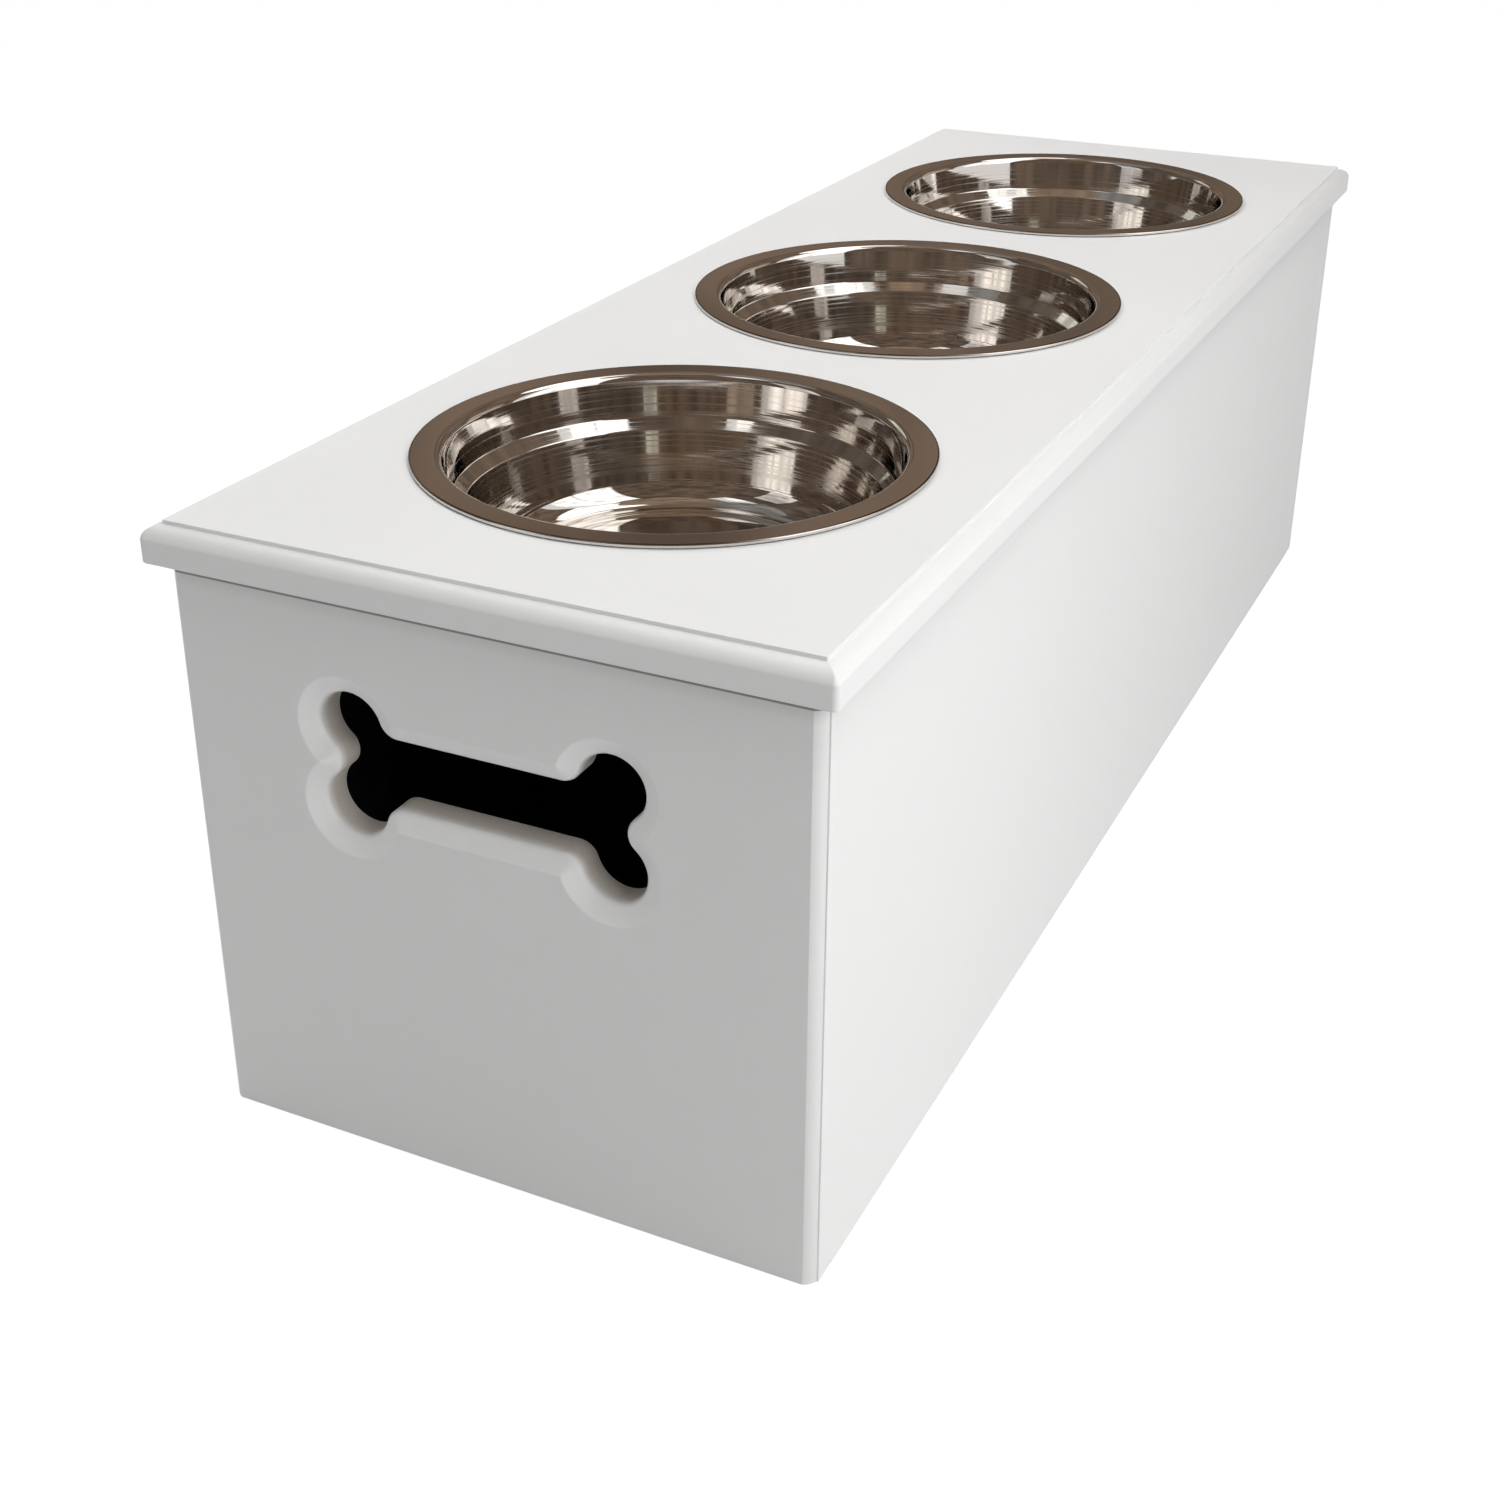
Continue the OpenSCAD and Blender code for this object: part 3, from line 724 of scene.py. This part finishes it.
def finish_tree(r, geometry, material):
    """Ends a tree in Realize Instances and Set Material."""
    real = r.add("GeometryNodeRealizeInstances", {}, {"Geometry": geometry})
    smooth = r.add("GeometryNodeSetShadeSmooth", {}, {"Geometry": real})
    painted = r.add("GeometryNodeSetMaterial", {}, {"Geometry": smooth, "Material": material})
    r.put(r.outlet.inputs[0], painted)


def grow(piece, tree, sizes):
    """Runs a geometry tree on a piece with the given sizes, and keeps the plain mesh."""
    modifier = piece.modifiers.new(tree.name, "NODES")
    modifier.node_group = tree
    keys = {item.name: item.identifier for item in tree.interface.items_tree if item.in_out == "INPUT"}
    for label, value in sizes.items():
        modifier[keys[label]] = value
    return keep_result(piece)


print("turning recipe ready")

# %% [markdown]
# ## The bowls
# Each bowl is spun from 1 mm sheet: a flat flange with a rolled rim that rests on the lid, a short upper wall, a
# shoulder that stiffens it, and a wall that rolls into the flat floor. The corner points run down the inside from the
# middle of the floor, round the rim, and back along the underside, so the sheet is closed. All sizes are named inputs
# of the tree, in metres.

# %% Bowls
BOWL_SIZES = {
    "Rim Radius": 0.1189, "Flange Height": 0.0021, "Roll": 0.0007, "Bead": 0.0022, "Sheet": 0.001,
    "Mouth Radius": 0.1045, "Mouth Bend": 0.004,
    "Shoulder Radius": 0.101, "Shoulder Depth": 0.019, "Shoulder Size": 0.005,
    "Floor Corner Radius": 0.088, "Heel": 0.015, "Bowl Depth": 0.06,
    "Row Place": 0.0, "Lid Top": LID_TOP * MM, "Segments": 192,
}


def bowl_tree():
    r, size = geometry_recipe("spun_bowl", BOWL_SIZES)
    rim, top, roll = size["Rim Radius"], size["Flange Height"], size["Roll"]
    sheet, bead = size["Sheet"], size["Bead"]
    mouth, bend = size["Mouth Radius"], size["Mouth Bend"]
    shoulder, depth, step = size["Shoulder Radius"], size["Shoulder Depth"], size["Shoulder Size"]
    floor, heel, deep = size["Floor Corner Radius"], size["Heel"], size["Bowl Depth"]
    corners = [
        (0.0, -deep, 0.0),
        (floor, -deep, heel),
        (shoulder - step, -depth - step, 0.0014),
        (shoulder, -depth, 0.0018),
        (mouth, top, bend),
        (rim, top, roll),
        (rim, 0.0, roll * 0.9),
        (rim - bead, 0.0, roll * 0.8),
        (rim - bead, top - sheet, 0.0),
        (mouth + sheet, top - sheet, bend - sheet),
        (shoulder + sheet, -depth - sheet * 0.4, 0.0018),
        (shoulder - step + sheet, -depth - step - sheet * 0.4, 0.0014),
        (floor + sheet * 0.8, -deep - sheet, heel + sheet),
        (0.0, -deep - sheet, 0.0),
    ]
    shell = turned(r, corners, 12, size["Segments"])
    place = r.vector(0.0, size["Row Place"], size["Lid Top"])
    placed = r.add("GeometryNodeTransform", {}, {"Geometry": shell, "Translation": place})
    finish_tree(r, placed, STEEL)
    return r.tree


BOWL_TREE = bowl_tree()
for row, name in zip(ROWS, ("front", "middle", "rear")):
    bowl = scene_object(name + "_spun_bowl", bpy.data.meshes.new(name + "_spun_bowl"))
    grow(bowl, BOWL_TREE, {**BOWL_SIZES, "Row Place": row * PITCH * MM})
    weigh_normals(bowl, sharp=60)
    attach(bowl, name + "_bowl")
    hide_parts(name + "_bowl")
    report(bowl)

# %% [markdown]
# ## The screws
# Countersunk wood screws hold the blocks, battens and base. Each kind is one mesh of loose points, one where each
# head lies, with an attribute that says how the screw is turned. The tree turns one screw, cuts the cross for the
# driver with a boolean and puts an instance on each point.

# %% Screws
SCREW_SIZES = {
    "Length": 0.03, "Shank Radius": 0.002, "Head Radius": 0.004, "Head Height": 0.0026,
    "Point Length": 0.005, "Point Radius": 0.0004,
    "Cross Length": 0.0044, "Cross Width": 0.0009, "Cross Depth": 0.0014, "Segments": 24,
}


def screw_tree():
    r, size = geometry_recipe("wood_screw", SCREW_SIZES)
    shank, head, length = size["Shank Radius"], size["Head Radius"], size["Length"]
    corners = [
        (0.0, 0.0, 0.0),
        (head, 0.0, 0.0),
        (shank, -size["Head Height"], 0.0008),
        (shank, size["Point Length"] - length, 0.001),
        (size["Point Radius"], -length, 0.0),
        (0.0, -length, 0.0),
    ]
    body = turned(r, corners, 2, size["Segments"])
    joint = r.tree.nodes.new("GeometryNodeJoinGeometry")
    long, narrow, tall = size["Cross Length"], size["Cross Width"], size["Cross Depth"] * 2
    for across in (r.vector(long, narrow, tall), r.vector(narrow, long, tall)):
        bar = r.add("GeometryNodeMeshCube", {}, {"Size": across})
        r.tree.links.new(bar.socket, joint.inputs[0])
    cross = Wire(r, joint.outputs[0])
    screw = r.add("GeometryNodeMeshBoolean", {"operation": "DIFFERENCE"}, {0: body, 1: cross})
    turns = r.add("GeometryNodeInputNamedAttribute", {"data_type": "FLOAT_VECTOR"}, {"Name": "turn"})
    rotation = r.add("FunctionNodeEulerToRotation", {}, {0: turns})
    values = {"Points": size["Geometry"], "Instance": screw, "Rotation": rotation}
    finish_tree(r, r.add("GeometryNodeInstanceOnPoints", {}, values), ZINC)
    return r.tree


def spread(length, margin, count):
    """Evenly spaced places along a length round 0, with a margin at each end."""
    return [-length / 2 + margin + i * (length - 2 * margin) / (count - 1) for i in range(count)]


# %% [markdown]
# The places follow the CAD model's own rule: screws are spread evenly along a batten or block between two margins.
# Two screws through a corner block would meet, so the row into the side board sits a little higher.

# %% Screw places
QUARTER = math.pi / 2
DOWNWARD, UPWARD = (0, 0, 0), (2 * QUARTER, 0, 0)
TO_FRONT, TO_REAR = (-QUARTER, 0, 0), (QUARTER, 0, 0)
TO_LEFT, TO_RIGHT = (0, QUARTER, 0), (0, -QUARTER, 0)
BATTEN, BLOCK, BASE_T, BASE_Z = 18, 20, 12, 24
BASE_TOP, BLOCK_GAP, HEAD_COVER, ROW_SHIFT = BASE_Z + BASE_T, 4, 6, 6
LID_PLAY, LOCATOR_INSET = 1.5, 60
BLOCK_MARGIN, BATTEN_MARGIN, BASE_MARGIN, LOCATOR_MARGIN = 30, 50, 100, 40
INNER_W, INNER_L = BOX_W - 2 * BOARD, BOX_L - 2 * BOARD
BLOCK_H = BOX_H - BATTEN - BLOCK_GAP - BASE_TOP
LOCATOR_X, LOCATOR_Y = (inner / 2 - LID_PLAY - BATTEN / 2 for inner in (INNER_W, INNER_L))
block_places, batten_places, base_places, locator_places = [], [], [], []
for side in (-1, 1):
    for end in (-1, 1):
        for z in spread(BLOCK_H, BLOCK_MARGIN, 3):
            middle = BASE_TOP + BLOCK_H / 2 + z
            at_end = (side * (INNER_W - BLOCK) / 2, end * (INNER_L / 2 - BLOCK), middle - ROW_SHIFT)
            at_side = (side * (INNER_W / 2 - BLOCK), end * (INNER_L - BLOCK) / 2, middle + ROW_SHIFT)
            block_places.append((at_end, TO_FRONT if end < 0 else TO_REAR))
            block_places.append((at_side, TO_LEFT if side < 0 else TO_RIGHT))
    batten_z = BASE_Z - BATTEN / 2
    for y in spread(INNER_L, BATTEN_MARGIN, 5):
        batten_places.append(((side * (INNER_W / 2 - BATTEN), y, batten_z), TO_LEFT if side < 0 else TO_RIGHT))
    for x in spread(INNER_W - 2 * BATTEN, BATTEN_MARGIN, 2):
        batten_places.append(((x, side * (INNER_L / 2 - BATTEN), batten_z), TO_FRONT if side < 0 else TO_REAR))
    for y in spread(INNER_L, BASE_MARGIN, 4):
        base_places.append(((side * (INNER_W - BATTEN) / 2, y, BASE_TOP), DOWNWARD))
    for y in spread(INNER_L - 2 * LOCATOR_INSET, LOCATOR_MARGIN, 4):
        locator_places.append(((side * LOCATOR_X, y, BOX_H - BATTEN), UPWARD))
    for x in spread(INNER_W - 2 * (BLOCK + LID_PLAY), LOCATOR_MARGIN, 2):
        locator_places.append(((x, side * LOCATOR_Y, BOX_H - BATTEN), UPWARD))
print("screws:", [len(p) for p in (block_places, batten_places, base_places, locator_places)])

# %% Set the screws
SCREW_TREE = screw_tree()


def screw_set(name, places, length, body, node):
    mesh = bpy.data.meshes.new(name)
    mesh.from_pydata([[v * MM for v in place] for place, way in places], [], [])
    turns = mesh.attributes.new("turn", "FLOAT_VECTOR", "POINT")
    for item, (place, way) in zip(turns.data, places):
        item.vector = way
    piece = scene_object(name, mesh)
    grow(piece, SCREW_TREE, {**SCREW_SIZES, "Length": length * MM})
    piece.data.set_sharp_from_angle(angle=math.radians(35))
    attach(piece, body)
    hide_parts(node)
    report(piece)


screw_set("block_wood_screws", block_places, BLOCK + BOARD - HEAD_COVER, "box", "corner_block_screws")
screw_set("batten_wood_screws", batten_places, BATTEN + BOARD - HEAD_COVER, "box", "base_batten_screws")
screw_set("base_wood_screws", base_places, BASE_T + BATTEN - HEAD_COVER, "box", "base_screws")
screw_set("locator_wood_screws", locator_places, BATTEN + LID_T - HEAD_COVER, "lid", "lid_locator_screws")

# %% [markdown]
# ## The studio
# The photograph has a pure white ground and a plain soft light from the right and above. The floor shows itself as
# white to the camera and to the steel, but lights the object as a mid grey floor would, and it keeps a faint shadow.
# The world does the same: white where it is seen, softer where it lights.


# %% Floor and world
def seen_directly(r):
    """1 for rays from the camera, or that a mirror or glass sent on."""
    path = r.add("ShaderNodeLightPath").socket.node
    kinds = ("Is Camera Ray", "Is Glossy Ray", "Is Transmission Ray")
    direct, glossy, through = (Wire(r, path.outputs[kind]) for kind in kinds)
    return r.maths("MINIMUM", direct + glossy + through, 1)


def empty_material(name):
    material = bpy.data.materials.new(name)
    material.use_nodes = True
    material.node_tree.nodes.clear()
    return material, Recipe(material.node_tree)


def floor_material():
    material, r = empty_material("studio_floor")
    seen = seen_directly(r)
    grain = r.noise(r.add("ShaderNodeTexCoord", out="Object"), 0.01)
    matt = r.add("ShaderNodeBsdfDiffuse", {}, {"Color": r.mix(grain, (0.57,) * 3, (0.59,) * 3)})
    faint = r.add("ShaderNodeBsdfDiffuse", {}, {"Color": (0.06, 0.06, 0.06, 1)})
    glow = r.add("ShaderNodeEmission", {}, {"Color": (1, 1, 1, 1), "Strength": 0.985})
    white = r.add("ShaderNodeAddShader", {}, {0: faint, 1: glow})
    shown = r.add("ShaderNodeMixShader", {}, {0: seen, 1: matt, 2: white})
    r.add("ShaderNodeOutputMaterial", {}, {"Surface": shown})
    return material


FLOOR_HALF = 12
floor_corners = [(x * FLOOR_HALF, y * FLOOR_HALF, 0) for x, y in ((-1, -1), (1, -1), (1, 1), (-1, 1))]
floor_mesh = bpy.data.meshes.new("floor")
floor_mesh.from_pydata(floor_corners, [], [(0, 1, 2, 3)])
floor_mesh.materials.append(floor_material())
floor = scene_object("floor", floor_mesh)
floor.location.z = -0.0003

world = bpy.data.worlds.new("studio")
bpy.context.scene.world = world
world.use_nodes = True
world.node_tree.nodes.clear()
r = Recipe(world.node_tree)
lit = r.add("ShaderNodeBackground", {}, {"Color": (1, 1, 1, 1), "Strength": 0.17})
shown = r.add("ShaderNodeBackground", {}, {"Color": (1, 1, 1, 1), "Strength": 1.0})
mixed = r.add("ShaderNodeMixShader", {}, {0: seen_directly(r), 1: lit, 2: shown})
r.add("ShaderNodeOutputWorld", {}, {"Surface": mixed})
print("floor and world ready")

# %% [markdown]
# ## Lamps and cards
# Two large soft lamps above light the top, two smaller ones beside and low to the right light the right side, and two
# fills keep the front end and the far left from going dark. Together they leave the front in half shade, as in the
# photograph. Steel shows what stands round it, and the bowls stood in a brown room with bright windows. Cards that
# only reflections can see stand in for that room, and the lamps don't show in reflections, so the steel is rich
# without a change in the light on the boards.


# %% Lamps
def lamp(name, place, aim, size, power):
    """A square soft lamp of a size in metres and a power in watts, aimed at a point."""
    light = bpy.data.lights.new(name, "AREA")
    light.size = size
    light.energy = power
    thing = scene_object(name, light)
    thing.location = place
    thing.rotation_euler = (Vector(aim) - Vector(place)).to_track_quat("-Z", "Y").to_euler()
    thing.visible_camera = thing.visible_glossy = False


lamp("window_above", (0.55, -0.5, 1.9), (0.0, -0.1, 0.25), 1.0, 13.6)
lamp("window_above_rear", (0.9, 0.3, 1.6), (0.1, 0.1, 0.25), 1.0, 4.8)
lamp("window_beside", (1.2, -0.8, 0.9), (0.1, -0.3, 0.2), 0.6, 4.6)
lamp("window_low", (1.0, -0.5, 0.3), (0.15, -0.4, 0.15), 0.4, 2.1)
lamp("fill_in_front", (-0.7, -1.7, 0.25), (0, -0.45, 0.12), 0.8, 2.9)
lamp("fill_behind", (-0.9, 0.5, 1.2), (0, 0.2, 0.29), 0.8, 9.7)
print("lamps ready")


# %% Cards
UNEVEN = 0.35


def card(name, corners, faces, colour, strength):
    """A glowing sheet that only reflections see, of a colour that varies softly, as in a real room."""
    material, r = empty_material(name)
    where = r.add("ShaderNodeTexCoord", out="Object")
    patches = r.between(r.noise(where, 0.5, detail=3), 0.3, 0.7)
    dim, bright = ([c * (1 + way * UNEVEN) for c in colour] for way in (-1, 1))
    glow = r.add("ShaderNodeEmission", {}, {"Color": r.mix(patches, dim, bright), "Strength": strength})
    r.add("ShaderNodeOutputMaterial", {}, {"Surface": glow})
    mesh = bpy.data.meshes.new(name)
    mesh.from_pydata(corners, [], faces)
    mesh.materials.append(material)
    thing = scene_object(name, mesh)
    thing.visible_camera = thing.visible_diffuse = thing.visible_shadow = thing.visible_transmission = False


ROOM_Z, CARD_STEPS = 0.29, 12


def room_card(name, azimuths, heights, colour, strength, distance=3.4):
    """A patch of a sphere round the object, between two azimuths and two elevations in degrees.
    Azimuth 0 lies behind the object, along +Y, and 90 to its right."""

    def share(limits, step):
        return math.radians(limits[0] + (limits[1] - limits[0]) * step / CARD_STEPS)

    corners, faces = [], []
    for i in range(CARD_STEPS + 1):
        a = share(azimuths, i)
        for j in range(CARD_STEPS + 1):
            e = share(heights, j)
            across = distance * math.cos(e)
            corners.append((across * math.sin(a), across * math.cos(a), ROOM_Z + distance * math.sin(e)))
    side = CARD_STEPS + 1
    for i in range(CARD_STEPS):
        for j in range(CARD_STEPS):
            first = i * side + j
            faces.append((first, first + side, first + side + 1, first + 1))
    card(name, corners, faces, colour, strength)


WINDOW, BROWN = (1.0, 0.99, 0.97), (0.19, 0.14, 0.105)
room_card("room_back", (-60, 66), (2, 57), BROWN, 1.0, 3.6)
room_card("room_left", (-160, -60), (2, 60), (0.18, 0.142, 0.114), 0.75, 3.6)
room_card("room_behind_camera", (117, 200), (2, 75), BROWN, 0.8, 3.6)
room_card("room_ceiling", (-180, 180), (72, 90), (0.31, 0.225, 0.16), 1.0, 3.7)
room_card("room_grey", (-125, -20), (56, 76), (0.275, 0.266, 0.258), 1.0, 3.5)
room_card("window_right", (74, 90), (9, 72), WINDOW, 2.0)
room_card("window_right_far", (92, 116), (9, 70), WINDOW, 2.0)
room_card("window_high", (-14, 66), (56, 76), WINDOW, 1.9)
room_card("window_left", (-150, -131), (5, 45), (1.0, 0.95, 0.92), 0.8)
room_card("window_small", (-63, -49), (15, 31), (0.80, 0.80, 0.70), 1.0)
room_card("ceiling_lamp", (-153, -137), (60, 66), WINDOW, 2.2)
room_card("lit_wall", (28, 58), (4, 22), (0.5, 0.42, 0.34), 1.0)
print("cards ready")

# %% [markdown]
# ## Finish
# The photograph's colours are shown as written, with the Standard view transform. The visual model stays inside the
# CAD model's box, and the hidden CAD pieces stay in the scene.

# %% Finish
bpy.context.scene.view_settings.view_transform = "Standard"
